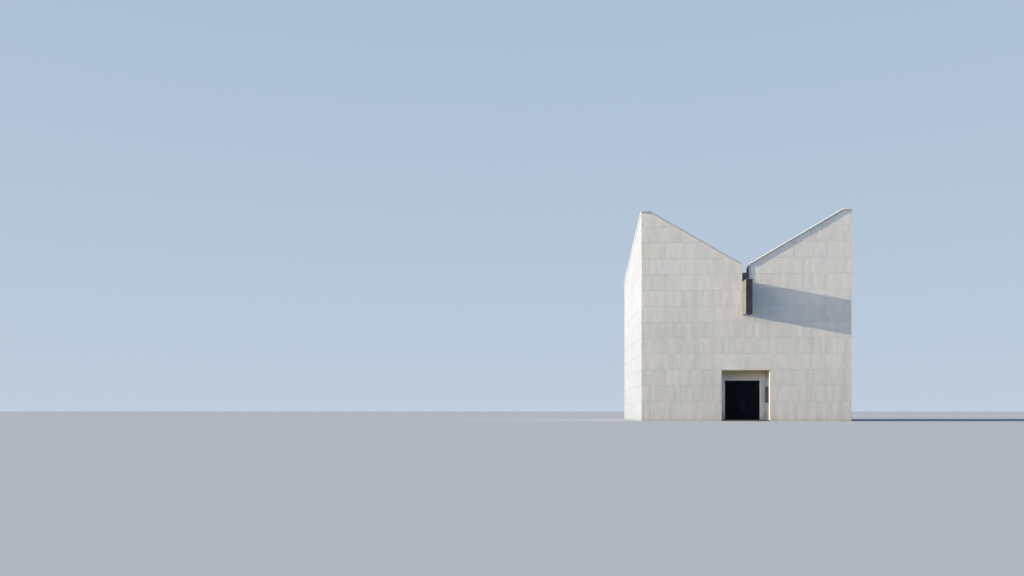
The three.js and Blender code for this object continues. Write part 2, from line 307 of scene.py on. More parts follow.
class Shell:
    """Closed shapes gathered into one piece, each with a finish and a tone of its own."""

    def __init__(self, finish):
        self.finish = finish
        self.points = []
        self.faces = []
        self.finishes = []
        self.tones = []

    def add(self, points, faces, finish=None, tone=0.5):
        start = len(self.points)
        self.points += [tuple(p) for p in points]
        self.faces += [[start + i for i in face] for face in faces]
        self.finishes += [finish or self.finish] * len(faces)
        self.tones += [tone] * len(points)

    def rings(self, rings, finish=None, tone=0.5):
        """A closed shape through rings of the same number of points, capped at both ends."""
        count = len(rings[0])
        faces = [list(range(count))[::-1]]
        for low in range(0, (len(rings) - 1) * count, count):
            for i in range(count):
                after = (i + 1) % count
                faces.append([low + i, low + after, low + count + after, low + count + i])
        faces.append([(len(rings) - 1) * count + i for i in range(count)])
        self.add([p for ring in rings for p in ring], faces, finish, tone)

    def box(self, low, high, finish=None):
        """A plain block, given by any two opposite corners."""
        low, high = [min(p) for p in zip(low, high)], [max(p) for p in zip(low, high)]
        plan = rectangle(low[0], high[0], low[1], high[1])
        self.rings([[(x, y, z) for x, y in plan] for z in (low[2], high[2])], finish)

    def slab(self, low, high, place, depths, chamfer, finish=None):
        """A flat plate on a wall or floor, from its face to its back, the face's edges chamfered."""
        face, back = depths
        edge = rectangle(low[0], high[0], low[1], high[1])
        rings = [(edge, back), (edge, face + chamfer), (inset(edge, chamfer), face)]
        self.rings([[place(u, v, d) for u, v in ring] for ring, d in rings], finish)

    def framed(self, low, high, profile, place):
        """A mitred frame around a rectangle, from its profile as insets and depths."""
        count = len(profile)
        points = []
        for right, up in ((0, 0), (1, 0), (1, 1), (0, 1)):
            for by, depth in profile:
                u = high[0] - by if right else low[0] + by
                v = high[1] - by if up else low[1] + by
                points.append(place(u, v, depth))
        faces = []
        for corner in range(4):
            a, b = corner * count, (corner + 1) % 4 * count
            for i in range(count):
                faces.append([a + i, a + (i + 1) % count, b + (i + 1) % count, b + i])
        self.add(points, faces)

    def turned(self, start, along, stations, sides, finish=None):
        """A round bar: stations give the distance along its axis and the radius there."""
        axis = Vector(along).normalized()
        across = axis.orthogonal().normalized()
        third = axis.cross(across)
        turns = [2 * math.pi * i / sides for i in range(sides)]
        spokes = [across * math.cos(turn) + third * math.sin(turn) for turn in turns]
        rings = [
            [Vector(start) + axis * distance + spoke * radius for spoke in spokes]
            for distance, radius in stations
        ]
        self.rings(rings, finish)

    def moulded(self, xs, ys, lower, upper, finish=None):
        """A block whose underside and top follow height functions over a grid of its plan."""
        columns, rows = len(xs), len(ys)
        under = [(x, y, lower(x, y)) for y in ys for x in xs]
        over = [(x, y, upper(x, y)) for y in ys for x in xs]
        top = len(under)
        faces = []
        for j in range(rows - 1):
            for i in range(columns - 1):
                a = j * columns + i
                cell = [a, a + 1, a + 1 + columns, a + columns]
                faces.append(cell[::-1])
                faces.append([top + k for k in cell])
        edge = list(range(columns))
        edge += [j * columns + columns - 1 for j in range(1, rows)]
        edge += [(rows - 1) * columns + i for i in range(columns - 2, -1, -1)]
        edge += [j * columns for j in range(rows - 2, 0, -1)]
        for a, b in zip(edge, edge[1:] + edge[:1]):
            faces.append([a, b, top + b, top + a])
        self.add(under + over, faces, finish)

    def take(self, mesh):
        """Takes over the closed shapes of another mesh, with their finish and tone."""
        tone = mesh.attributes.get("tone")
        start = len(self.points)
        self.points += [tuple(v.co) for v in mesh.vertices]
        self.faces += [[start + i for i in face.vertices] for face in mesh.polygons]
        self.finishes += [mesh.materials[face.material_index] for face in mesh.polygons]
        self.tones += [t.value for t in tone.data] if tone else [0.5] * len(mesh.vertices)
        bpy.data.meshes.remove(mesh)

    def fix(self, name, slot, replaced=(), body=BODY):
        """Makes the piece on its body, in place of the solids it stands for."""
        mesh = bpy.data.meshes.new(name)
        mesh.from_pydata(self.points, [], self.faces)
        kinds = list(dict.fromkeys(self.finishes))
        for finish in kinds:
            mesh.materials.append(finish)
        mesh.polygons.foreach_set("material_index", [kinds.index(f) for f in self.finishes])
        tone = mesh.attributes.new("tone", "FLOAT", "POINT")
        tone.data.foreach_set("value", self.tones)
        work = bmesh.new()
        work.from_mesh(mesh)
        bmesh.ops.recalc_face_normals(work, faces=work.faces)
        work.to_mesh(mesh)
        work.free()
        mesh.polygons.foreach_set("use_smooth", [True] * len(mesh.polygons))
        mesh.set_sharp_from_angle(angle=SHARP)
        obj = placed(name, mesh)
        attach(obj, body)
        if replaced:
            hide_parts(*replaced)
        return obj


def repainted(obj, finish, chosen):
    """Gives another finish to the faces that a test on their middle and normal picks."""
    obj.data.materials.append(finish)
    for face in obj.data.polygons:
        if chosen(face.center, face.normal):
            face.material_index = len(obj.data.materials) - 1


def softened(name, nodes, finish, slot, width):
    """Plain solids as one piece with rounded edges, in their place."""
    shell = Shell(finish)
    for node in nodes:
        work = bmesh.new()
        work.from_mesh(frame["nodes"][node].data)
        bmesh.ops.remove_doubles(work, verts=work.verts, dist=1e-5)
        bmesh.ops.dissolve_limit(work, angle_limit=FLAT, verts=work.verts, edges=work.edges)
        edges = [e for e in work.edges if e.calc_face_angle(0) > SHARP]
        bevel = {"segments": 2, "profile": 0.5, "affect": "EDGES", "clamp_overlap": True}
        bmesh.ops.bevel(work, geom=edges, offset=width, **bevel)
        work.verts.index_update()
        faces = [[v.index for v in face.verts] for face in work.faces]
        shell.add([v.co for v in work.verts], faces)
        work.free()
    return shell.fix(name, slot, nodes)


# Outlines on a wall

def rectangle(low, high, foot, top):
    return [(low, foot), (high, foot), (high, top), (low, top)]


def inset(outline, by):
    """A flat outline, counter-clockwise, moved inwards by a distance."""
    moved = []
    for i, point in enumerate(outline):
        before, after = outline[i - 1], outline[(i + 1) % len(outline)]
        into = Vector((point[0] - before[0], point[1] - before[1])).normalized()
        out = Vector((after[0] - point[0], after[1] - point[1])).normalized()
        first, second = Vector((-into.y, into.x)), Vector((-out.y, out.x))
        shift = (first + second) * (by / (1 + first.dot(second)))
        moved.append((point[0] + shift.x, point[1] + shift.y))
    return moved


def area(outline):
    pairs = zip(outline, outline[1:] + outline[:1])
    return sum(a[0] * b[1] - b[0] * a[1] for a, b in pairs) / 2


def cut(outline, line):
    """The part of an outline where a * u + b * z is at most c."""
    a, b, c = line
    kept = []
    for here, after in zip(outline, outline[1:] + outline[:1]):
        now, then = a * here[0] + b * here[1] - c, a * after[0] + b * after[1] - c
        if now <= 0:
            kept.append(here)
        if now * then < 0:
            part = now / (now - then)
            kept.append((mix(here[0], after[0], part), mix(here[1], after[1], part)))
    return kept


def below(slope, height):
    """The cut that keeps what is under the line z = height + slope * u."""
    return (-slope, 1, height)


def course_levels(row):
    """Foot and top of a course of panels."""
    top = BASE_COURSE + row * COURSE
    return (0 if row == 0 else top - COURSE), top


def course_panels(row):
    """The panels of one course in running bond, from corner to corner, as spans."""
    first = -HALF + FIRST_JOINTS[row % 2]
    joints = [first + PANEL * i for i in range(7) if first + PANEL * i < HALF - NEAR]
    marks = [-HALF] + joints + [HALF]
    return list(zip(marks, marks[1:]))


def lay_panel(shell, outline, place, tone, gap=JOINT, finish=None):
    """One panel: its edges chamfered, half a joint inside its outline and mitred at the corners."""
    edge, face = inset(outline, gap / 2), inset(outline, gap / 2 + CHAMFER)
    if area(face) < SMALLEST_PANEL:
        return
    rings = []
    for ring, depth in ((edge, RELIEF - SEAT), (edge, CHAMFER), (face, 0.0)):
        far = HALF - depth
        rings.append([place(max(-far, min(far, u)), z, depth) for u, z in ring])
    shell.rings(rings, finish, tone)


def lay_courses(wall, zones, notch=None):
    """All panels of a wall, cut to the straight-edged zones that make up its face."""
    shell, draws, place = Shell(CONCRETE), random.Random(SEEDS[wall]), ON_WALL[wall]
    for row in range(COURSES):
        foot, top = course_levels(row)
        for low, high in course_panels(row):
            if notch and row == SLOT_COURSE and low < 0 < high:
                lay_panel(shell, notch, place, draws.random())
                continue
            for zone in zones:
                outline = rectangle(low, high, foot, top)
                for line in zone:
                    outline = cut(outline, line)
                if len(outline) > 2 and area(outline) > SMALLEST_PANEL:
                    lay_panel(shell, outline, place, draws.random())
    return shell


# Heights over the plan

def mix(a, b, part):
    return a + (b - a) * part


FALL = (FRONT_CORNER - BACK_CORNER) / (2 * HALF)
FRONT_SLOPE = (FRONT_CORNER - FRONT_VALLEY) / (INNER_X - SLOT_HALF)
BACK_SLOPE = (BACK_CORNER - BACK_VALLEY) / INNER_X


def side_top(x, y):
    return FRONT_CORNER - FALL * (y + HALF)


def front_top(x, y):
    return side_top(x, y) - FRONT_SLOPE * (INNER_X - abs(x))


def back_top(x, y):
    return side_top(x, y) - BACK_SLOPE * (INNER_X - abs(x))


def roof_top(x, y):
    along = (y + INNER_Y) / (2 * INNER_Y)
    valley, side = (
        mix(ROOF_CORNERS[x0, -INNER_Y], ROOF_CORNERS[x0, INNER_Y], along)
        for x0 in (SLOT_HALF, INNER_X)
    )
    return mix(valley, side, (abs(x) - SLOT_HALF) / (INNER_X - SLOT_HALF))


def roof_soffit(x, y):
    side = mix(SOFFIT_CORNERS[-INNER_Y], SOFFIT_CORNERS[INNER_Y], (y + INNER_Y) / (2 * INNER_Y))
    return mix(SLOT_SILL, side, max(0, (abs(x) - BEAM_HALF) / (INNER_X - BEAM_HALF)))


def level(height):
    return lambda x, y: height


def span(side, near, far):
    return [-far, -near] if side < 0 else [near, far]


def steps(low, high, count):
    return [low + (high - low) * i / count for i in range(count + 1)]


def spans(low, high, count):
    marks = steps(low, high, count)
    return zip(marks, marks[1:])


# Finishes

WHITE = (0.86, 0.85, 0.83)
GREYED = (0.55, 0.548, 0.53)
# The colour of painted shade at the top of a recess, under its soffit.
RECESS_TOP_SHADE = (0.5, 0.42, 0.1)


def painted_concrete(place="", worn=1.0, per_panel=True, light=WHITE, dark=GREYED, smoky=False):
    """White paint on concrete: upright streaks, broad clouds, painted shade growing towards the ground,
    dirt at the foot, fine grain; a recess's top can get painted shade under its soffit.
    """
    r = Recipe("painted_concrete" + place)
    tone = r.tone()
    drift = tone if per_panel else None
    streaks = r.noise(1.0, 3.0, (2.4, 2.4, 0.5), 3.1, drift)
    hairs = r.noise(1.0, 2.0, (15, 15, 1.1), 5.3, drift)
    clouds = r.noise(0.35, 2.0, (1, 1, 1), 7.7)
    grain = r.noise(60.0, 3.0)
    uneven = (streaks - 0.5) * (0.62 * worn) + (hairs - 0.5) * 0.13 + (clouds - 0.5) * 0.15
    height = r.axis("Z")
    # Painted shade: the paint is darker towards the ground.
    painted_shade_low = r.ramp(height / FRONT_CORNER, [(0.0, 1.0), (0.22, 0.6), (0.6, 0.12), (1.0, 0.0)])
    paint = r.blend(light, dark, uneven + (tone - 0.5) * 0.13 + 0.27 + painted_shade_low * 0.42)
    # Painted shade: the top of a recess, under its soffit, is darkened to a warm grey.
    if smoky:
        under = r.ramp((PORTAL_TOP - height) / 0.62, [(0.0, 1.0), (0.3, 0.95), (1.0, 0.0)])
        paint = r.blend(paint, RECESS_TOP_SHADE, under * 0.72)
    foot = r.ramp(height / 0.8 + (clouds - 0.5) * 0.6, [(0.0, 1.0), (0.18, 0.4), (0.7, 0.0)])
    paint = r.blend(paint, (0.46, 0.42, 0.34), foot * (streaks * 0.7 + 0.1) * worn)
    r.bump(streaks + clouds * 0.8 + hairs * 0.12 + grain * 0.05, 0.011, 0.75)
    return r.finished(paint, 0.72 + grain * 0.2)


def plain(name, colour, roughness, spread, scale, **fixed_values):
    """A quiet finish: one colour with soft clouds in its tone and its gloss."""
    r = Recipe(name, **fixed_values)
    clouds = r.noise(scale, 4.0)
    darker = tuple(c * (1 - 2 * spread) for c in colour)
    lighter = tuple(min(1, c * (1 + 2 * spread)) for c in colour)
    return r.finished(r.blend(darker, lighter, clouds), roughness - 0.08 + clouds * 0.16)


def weathered_sheet(place, colour, stain, roughness, metallic, bays=None):
    """Sheet metal with water runs, cloudy patina and slight buckles; bays give strips of one tone."""
    r = Recipe(place + "_sheet", Metallic=metallic, Specular_IOR_Level=0.25)
    runs = r.noise(1.0, 4.0, (14, 14, 0.5), 1.3)
    clouds = r.noise(1.6, 5.0, (1, 1, 1), 4.2)
    buckles = r.noise(1.3, 1.0)
    share = runs * 0.5 + clouds * 0.7
    if bays:
        strip = ((r.axis("Y") + INNER_Y) / bays).floor()
        tone = r.node("ShaderNodeTexWhiteNoise", noise_dimensions="1D", W=strip)
        share = share + (tone - 0.5) * 0.25
    r.bump(buckles + clouds * 0.05, 0.01, 0.5)
    sheet = r.blend(colour, stain, r.ramp(share, [(0.35, 0.0), (0.85, 1.0)]))
    return r.finished(sheet, roughness + (clouds - 0.5) * 0.3)


def door_finish():
    """Blue-black paint, a little chalky, with a faint upright brush grain."""
    r = Recipe("door_paint", Specular_IOR_Level=0.06, Coat_Weight=0.02, Coat_Roughness=0.3)
    brush = r.noise(1.0, 4.0, (90, 90, 1.6))
    share = r.noise(3.0, 3.0) * 0.7 + brush * 0.3
    r.bump(brush, 0.0012, 0.5)
    return r.finished(r.blend((0.002, 0.004, 0.0075), (0.005, 0.0085, 0.014), share), 0.42 + brush * 0.2)


def glass_finish():
    r = Recipe("case_glass", Base_Color=(0.22, 0.27, 0.34, 1), Alpha=0.22, IOR=1.5)
    r.feed("Roughness", 0.03 + r.noise(5.0, 4.0) * 0.08)
    return r.material


def stone_finish():
    """Honed grey paving: every slab of its own tone, speckled and slightly pitted."""
    r = Recipe("floor_stone")
    tone = r.tone()
    clouds = r.noise(2.5, 4.0, (1, 1, 1), 2.0, tone)
    specks = r.noise(140.0, 2.0)
    share = clouds * 0.5 + tone * 0.35 + (specks - 0.5) * 0.5 + 0.1
    r.bump(clouds * 0.4 + specks * 0.6, 0.0012, 0.6)
    return r.finished(r.blend((0.14, 0.134, 0.122), (0.29, 0.282, 0.262), share), 0.5 + clouds * 0.3)


SEAM_PITCH = 2 * INNER_Y / 24
CONCRETE = painted_concrete()
# Painted light and shade: the recess's back strips are paler than the walls' paint, with painted shade
# at their top.
RECESS_BACK_LIT_AND_SHADED = painted_concrete("_sheltered", 0.5, False, (0.9, 0.88, 0.87), (0.68, 0.66, 0.64), True)
# Painted shade: the recess's cheeks are darker than the walls' paint, and darker still at the top.
SHADED_REVEAL = painted_concrete("_reveal", 1.0, True, (0.74, 0.745, 0.75), (0.5, 0.51, 0.51), True)
# Painted shade: the white soffit over the recess is coloured a dark warm brown, as in shade lit from the
# ground.
SHADED_SOFFIT = painted_concrete("_soffit", 0.8, True, (0.144, 0.13, 0.066), (0.102, 0.092, 0.042))
# Painted light and shade: the lintel's white paint is tinted warm, as by light off the ground, with
# painted shade at its top.
SHADED_LINTEL = painted_concrete("_lintel", 0.8, False, (0.78, 0.725, 0.665), (0.6, 0.545, 0.505), True)
INSIDE = plain("inside_plaster", (0.74, 0.73, 0.7), 0.85, 0.02, 0.6)
FILLER = plain("joint_filler", (0.5, 0.5, 0.49), 0.9, 0.1, 2.0)
ROOFING = weathered_sheet("roof", (0.24, 0.255, 0.27), (0.36, 0.37, 0.375), 0.5, 0.55, SEAM_PITCH)
COPING = weathered_sheet("coping", (0.6, 0.625, 0.65), (0.5, 0.525, 0.55), 0.45, 0.15)
GUTTER = weathered_sheet("gutter", (0.035, 0.043, 0.058), (0.07, 0.08, 0.095), 0.45, 0.4)
SLOT_SHEET = weathered_sheet("slot", (0.045, 0.065, 0.11), (0.065, 0.085, 0.135), 0.5, 0.3)
PLATE = weathered_sheet("end_plate", (0.092, 0.1, 0.118), (0.12, 0.128, 0.145), 0.5, 0.2)
# One dark metal in two copies: painted light makes the sides lighter, painted shade makes the front
# darker.
SPOUT_SIDE_PAINTED_LIT = weathered_sheet("spout_side", (0.09, 0.1, 0.122), (0.07, 0.079, 0.099), 0.55, 0.1)
SPOUT_FRONT_PAINTED_SHADE = weathered_sheet("spout_front", (0.047, 0.05, 0.056), (0.062, 0.066, 0.074), 0.5, 0.1)
DOOR = door_finish()
STEEL = plain("brushed_steel", (0.1, 0.105, 0.115), 0.36, 0.06, 12.0, Metallic=0.8)
DARK_STEEL = plain("dark_steel", (0.03, 0.032, 0.036), 0.4, 0.08, 12.0, Metallic=0.5)
CASE = plain("case_paint", (0.07, 0.078, 0.09), 0.45, 0.1, 5.0, Metallic=0.2)
BOARD = plain("case_board", (0.075, 0.088, 0.115), 0.8, 0.1, 9.0)
GLASS = glass_finish()
STONE = stone_finish()
# Painted shade: the dark face along the front edge of the portal's paving.
SHADED_RISER = plain("riser_stone", (0.05, 0.045, 0.039), 0.8, 0.15, 8.0)


# What repeats

def rib_tree():
    """Straight ribs from one rail to another, evenly spaced along both."""
    rails = "Foot_Start Foot_End Top_Start Top_End"
    g = Growth("ribs_between_rails", Int="Count", Float="Width Height", Vector=rails + " Lift")
    counts = {"Vertices X": 2, "Vertices Y": g.size("Count")}
    grid = g.node("GeometryNodeMeshGrid", counts, Size_X=1.0, Size_Y=1.0)
    ends = [g.node("GeometryNodeInputMeshEdgeVertices", output=f"Position {i}") for i in (1, 2)]
    crossing = (g.part(ends[0], "X") - g.part(ends[1], "X")).absolute().above(0.5)
    lines = g.node("GeometryNodeMeshToCurve", Mesh=grid, Selection=crossing)
    across, along = g.part(g.place(), "X") + 0.5, g.part(g.place(), "Y") + 0.5
    corners = [g.size(label) for label in rails.split()]
    foot, top = g.between(*corners[:2], along), g.between(*corners[2:], along)
    laid = g.moved(lines, Position=g.between(foot, top, across), Offset=g.size("Lift"))
    upright = g.node("GeometryNodeSetCurveNormal", mode="Z_UP", Curve=laid)
    sizes = {label: g.size(label) for label in ("Width", "Height")}
    section = g.node("GeometryNodeCurvePrimitiveQuadrilateral", sizes, mode="RECTANGLE")
    solid = g.node("GeometryNodeCurveToMesh", Curve=upright, Profile_Curve=section, Fill_Caps=True)
    return g.close(solid)


def slab_tree():
    """A bed of equal slabs with chamfered edges and open joints, laid flat and then turned."""
    lengths = "Width Length Thickness Joint Chamfer"
    g = Growth("bed_of_slabs", Int="Columns Rows Seed", Float=lengths, Vector="Turn Place")
    columns, rows, thick, chamfer = (g.size(s) for s in ("Columns", "Rows", "Thickness", "Chamfer"))
    wide, long = g.size("Width") / columns, g.size("Length") / rows
    index = g.node("GeometryNodeInputIndex")
    u, v = (index % columns + 0.5) * wide, ((index / columns).floor() + 0.5) * long
    points = g.node("GeometryNodePoints", Count=columns * rows, Position=g.vector(u, v))
    a, b = wide - g.size("Joint"), long - g.size("Joint")
    counts = {"Vertices X": 2, "Vertices Y": 2, "Vertices Z": 3}
    block = g.node("GeometryNodeMeshCube", counts, Size=g.vector(a, b, thick))
    height = g.part(g.place(), "Z")
    shrink = g.vector(1 - chamfer * 2 / a, 1 - chamfer * 2 / b, 1.0)
    drawn_in = g.node("ShaderNodeVectorMath", {0: g.place(), 1: shrink}, operation="MULTIPLY")
    block = g.moved(block, Selection=height.above(thick * 0.25), Position=drawn_in)
    middle = 1 - height.absolute().above(thick * 0.25)
    block = g.moved(block, Selection=middle, Offset=g.vector(z=thick * 0.5 - chamfer))
    block = g.moved(block, Offset=g.vector(z=thick * 0.5))
    laid = g.node("GeometryNodeInstanceOnPoints", Points=points, Instance=block)
    tone = g.node("FunctionNodeRandomValue", output=1, data_type="FLOAT", Seed=g.size("Seed"))
    kept = {"Geometry": laid, "Name": "tone", "Value": tone}
    laid = g.node("GeometryNodeStoreNamedAttribute", kept, data_type="FLOAT", domain="INSTANCE")
    turn, place = g.size("Turn"), g.size("Place")
    return g.close(g.node("GeometryNodeTransform", Geometry=laid, Translation=place, Rotation=turn))


def head_tree():
    """A line of low round heads, as of rivets or screws."""
    g = Growth("line_of_heads", Int="Count", Float="Radius Rise", Vector="Start End Turn")
    ends = {"Start Location": g.size("Start"), "Offset": g.size("End")}
    line = g.node("GeometryNodeMeshLine", ends, mode="END_POINTS", Count=g.size("Count"))
    radius = g.size("Radius")
    sizes = {"Radius Top": radius * 0.62, "Radius Bottom": radius, "Depth": g.size("Rise")}
    head = g.node("GeometryNodeMeshCone", sizes, Vertices=10)
    turn = g.size("Turn")
    return g.close(g.node("GeometryNodeInstanceOnPoints", Points=line, Instance=head, Rotation=turn))


RIBS = rib_tree()
SLABS = slab_tree()
HEADS = head_tree()

FACING = {
    "front": (math.pi / 2, 0.0, 0.0),
    "back": (math.pi / 2, 0.0, math.pi),
    "left": (math.pi / 2, 0.0, -math.pi / 2),
    "right": (math.pi / 2, 0.0, math.pi / 2),
    "up": (0.0, 0.0, 0.0),
}


def ribs(shell, count, foot, top, width, height, lift):
    rails = {"Foot_Start": foot[0], "Foot_End": foot[1], "Top_Start": top[0], "Top_End": top[1]}
    RIBS.grow(shell, Count=count, Width=width, Height=height, Lift=lift, **rails)


def heads(shell, start, end, pitch, facing, finish=None, radius=0.006, rise=0.003):
    """Rivets or screws along a line, about a pitch apart."""
    count = max(2, round((Vector(end) - Vector(start)).length / pitch) + 1)
    ends = {"Start": tuple(start), "End": tuple(end), "Turn": FACING[facing]}
    finish = finish or shell.finish
    HEADS.grow(shell, Finish=finish, Count=count, Radius=radius, Rise=rise, **ends)


# Walls

def hang_wall(wall, panels, core, nodes, outwards):
    """Panels, and the wall behind them: filler shows in the joints, plaster inside."""
    panels.fix(f"{wall}_panels", "white_concrete", nodes)
    obj = core.fix(f"{wall}_wall_core", "white_concrete")
    repainted(obj, INSIDE, lambda at, normal: normal.dot(Vector(outwards)) < -0.9)


def build_front():
    valley_level = FRONT_VALLEY - FRONT_SLOPE * SLOT_HALF
    split = course_levels(SLOT_COURSE - 1)[1]
    zones = [[(0, -1, -PORTAL_TOP), (0, 1, split)]]
    for side in SIDES.values():
        zones.append([(-side, 0, -PORTAL_HALF), (0, 1, PORTAL_TOP)])
        slope = below(FRONT_SLOPE * side, valley_level)
        zones.append([(-side, 0, -SLOT_HALF), (0, -1, -split), (0, 1, FRONT_CORNER), slope])
    foot, top = course_levels(SLOT_COURSE)
    edge = HALF - FIRST_JOINTS[0] - 2 * PANEL
    notch = [
        (-edge, foot), (edge, foot), (edge, top), (SLOT_HALF, top),
        (SLOT_HALF, SLOT_SILL), (-SLOT_HALF, SLOT_SILL), (-SLOT_HALF, top), (-edge, top),
    ]
    panels, core = lay_courses("front", zones, notch), Shell(FILLER)
    face, jamb, opening = -HALF + RELIEF, PORTAL_HALF + RELIEF, PORTAL_TOP + RELIEF
    for side in SIDES.values():
        core.moulded(span(side, jamb, INNER_X), [face, -INNER_Y], level(0), level(opening))
        core.moulded(span(side, SLOT_HALF, INNER_X), [face, -INNER_Y], level(SLOT_SILL), front_top)
    core.box((-INNER_X, face, opening), (INNER_X, -INNER_Y, SLOT_SILL))
    nodes = [f"front_wall_{part}" for part in ("left", "right", "middle")]
    nodes += [f"front_gable_{word}" for word in SIDES]
    hang_wall("front", panels, core, nodes, (0, -1, 0))


def build_back():
    zones = [
        [(-side, 0, 0), below(BACK_SLOPE * side, BACK_VALLEY), (0, 1, BACK_CORNER)]
        for side in SIDES.values()
    ]
    panels, core = lay_courses("back", zones), Shell(FILLER)
    for side in SIDES.values():
        core.moulded(span(side, 0, INNER_X), [INNER_Y, HALF - RELIEF], level(0), back_top)
    hang_wall("back", panels, core, [f"back_wall_{word}" for word in SIDES], (0, 1, 0))


def build_sides():
    middle, face = (FRONT_CORNER + BACK_CORNER) / 2, HALF - RELIEF
    for word, side in SIDES.items():
        panels, core = lay_courses(word, [[below(-FALL * side, middle)]]), Shell(FILLER)
        core.moulded(span(side, INNER_X, face), [-face, face], level(0), side_top)
        hang_wall(word, panels, core, [f"{word}_wall"], (side, 0, 0))


# Portal

HEAD_EDGE = 0.05
JAMB_EDGE = 0.02
EDGE_DEPTH = 0.08
DRIP_STRIP = 0.12


def build_reveals(shell, draws):
    """Panels on both cheeks of the recess, three courses high."""
    edge = -HALF + RELIEF - JOINT / 2 + HAIR
    for side in SIDES.values():
        place = lambda u, z, d: (side * (PORTAL_HALF + d), u, z)
        for row in range(3):
            foot, top = course_levels(row)
            outline = rectangle(edge, DOOR_FACE, max(foot, FLOOR), top)
            lay_panel(shell, outline, place, draws.random(), finish=SHADED_REVEAL)


def build_soffit(shell, draws):
    """Panels over the recess, with a narrow strip along the front as a drip."""
    drip = -HALF + DRIP_STRIP
    place = lambda u, v, d: (u, v, PORTAL_TOP + d)
    for front, back in ((-HALF + RELIEF, drip), (drip, DOOR_FACE)):
        for low, high in spans(-PORTAL_HALF, PORTAL_HALF, 3):
            outline = rectangle(low, high, front, back)
            lay_panel(shell, outline, place, draws.random(), JOINT / 2, SHADED_SOFFIT)


def build_edging(shell):
    """White edging round the opening, flush with the wall: deeper over it than beside it."""
    face, back, soft = -HALF, -HALF + EDGE_DEPTH, 0.003
    inner = -JAMB_EDGE
    section = [(0, back), (0, face), (inner + soft, face), (inner, face + soft), (inner, back)]
    for side in SIDES.values():
        plan = [(side * (PORTAL_HALF + x), y) for x, y in section]
        shell.rings([[(x, y, z) for x, y in plan] for z in (FLOOR, PORTAL_TOP)])
    top, head, far = PORTAL_TOP, PORTAL_TOP - HEAD_EDGE, PORTAL_HALF - JAMB_EDGE
    section = [(back, top), (face, top), (face, head + soft), (face + soft, head), (back, head)]
    shell.rings([[(x, y, z) for y, z in section] for x in (-far, far)])


def build_portal():
    shell = Shell(CONCRETE)
    draws = random.Random(SEEDS["portal"])
    build_reveals(shell, draws)
    build_soffit(shell, draws)
    build_edging(shell)
    face, near, out, back = PORTAL_TOP + RELIEF, PORTAL_HALF, CHEEK_OUT, CEILING_BACK
    for side in SIDES.values():
        plan = [
            (near + RELIEF, -INNER_Y), (out, -INNER_Y), (out, back), (near, back),
            (near, DOOR_FACE), (near + RELIEF, DOOR_FACE),
        ]
        shell.rings([[(side * x, y, z) for x, y in plan] for z in (FLOOR, face)], FILLER)
    shell.box((-out, -INNER_Y, face), (out, back, CEILING_TOP), FILLER)
    shell.box((-near, DOOR_FACE, PORTAL_TOP), (near, back, face), FILLER)
    nodes = ["portal_cheek_left", "portal_cheek_right", "portal_ceiling"]
    obj = shell.fix("portal_lining", "white_concrete", nodes)
    behind = lambda at, normal: (
        at.y > back - NEAR or abs(at.x) > out - NEAR or at.z > CEILING_TOP - NEAR
    )
    repainted(obj, INSIDE, behind)
    backs = ["portal_back_left", "portal_back_right"]
    softened("portal_back", backs, RECESS_BACK_LIT_AND_SHADED, "white_concrete", 0.004)
    softened("lintel", ["portal_lintel"], SHADED_LINTEL, "white_concrete", 0.004)


# Roof and gutter

SEAM_HEIGHT = 0.032
SEAM_WIDTH = 0.009
SEAM_START = 0.05
SEAM_INSET = 0.3
SEAM_STOP = 0.03
UPSTAND_SEAM = 0.02
LINING = 0.004


def build_roof():
    first, last = -INNER_Y + SEAM_PITCH / 2, INNER_Y - SEAM_PITCH / 2
    count = round((last - first) / SEAM_PITCH) + 1
    for word, side in SIDES.items():
        shell = Shell(ROOFING)
        xs = [side * x for x in [SLOT_HALF] + steps(BEAM_HALF, INNER_X, 20)]
        shell.moulded(sorted(xs), steps(-INNER_Y, INNER_Y, 30), roof_soffit, roof_top)
        obj = shell.fix(f"roof_half_{word}", "roof_membrane", [f"roof_{word}"])
        repainted(obj, INSIDE, lambda at, normal: normal.z < -0.3)

        seams = Shell(ROOFING)
        low, high = side * (SLOT_HALF + SEAM_START), side * (INNER_X - LINING)
        foot, top = ([(x, y, roof_top(x, y)) for y in (first, last)] for x in (low, high))
        ribs(seams, count, foot, top, SEAM_WIDTH, SEAM_HEIGHT, (0.0, 0.0, SEAM_HEIGHT / 2))
        build_valley_edge(seams, side)
        seams.fix(f"roof_seams_{word}", "roof_membrane")
    build_upstands(first, last, count)


def build_valley_edge(shell, side):
    """The fold where the roof sheets drip into the gutter."""
    near, far, seat = SLOT_HALF - 0.006, SLOT_HALF + 0.09, SLOT_HALF + 0.001
    rise, thin, drop = 0.006, 0.001, -0.07
    section = [(near, drop), (near, rise), (far, rise), (far, thin), (seat, thin), (seat, drop)]
    rings = [
        [(side * x, y, roof_top(max(x, SLOT_HALF), y) + h) for x, h in section]
        for y in (-INNER_Y, INNER_Y)
    ]
    shell.rings(rings)


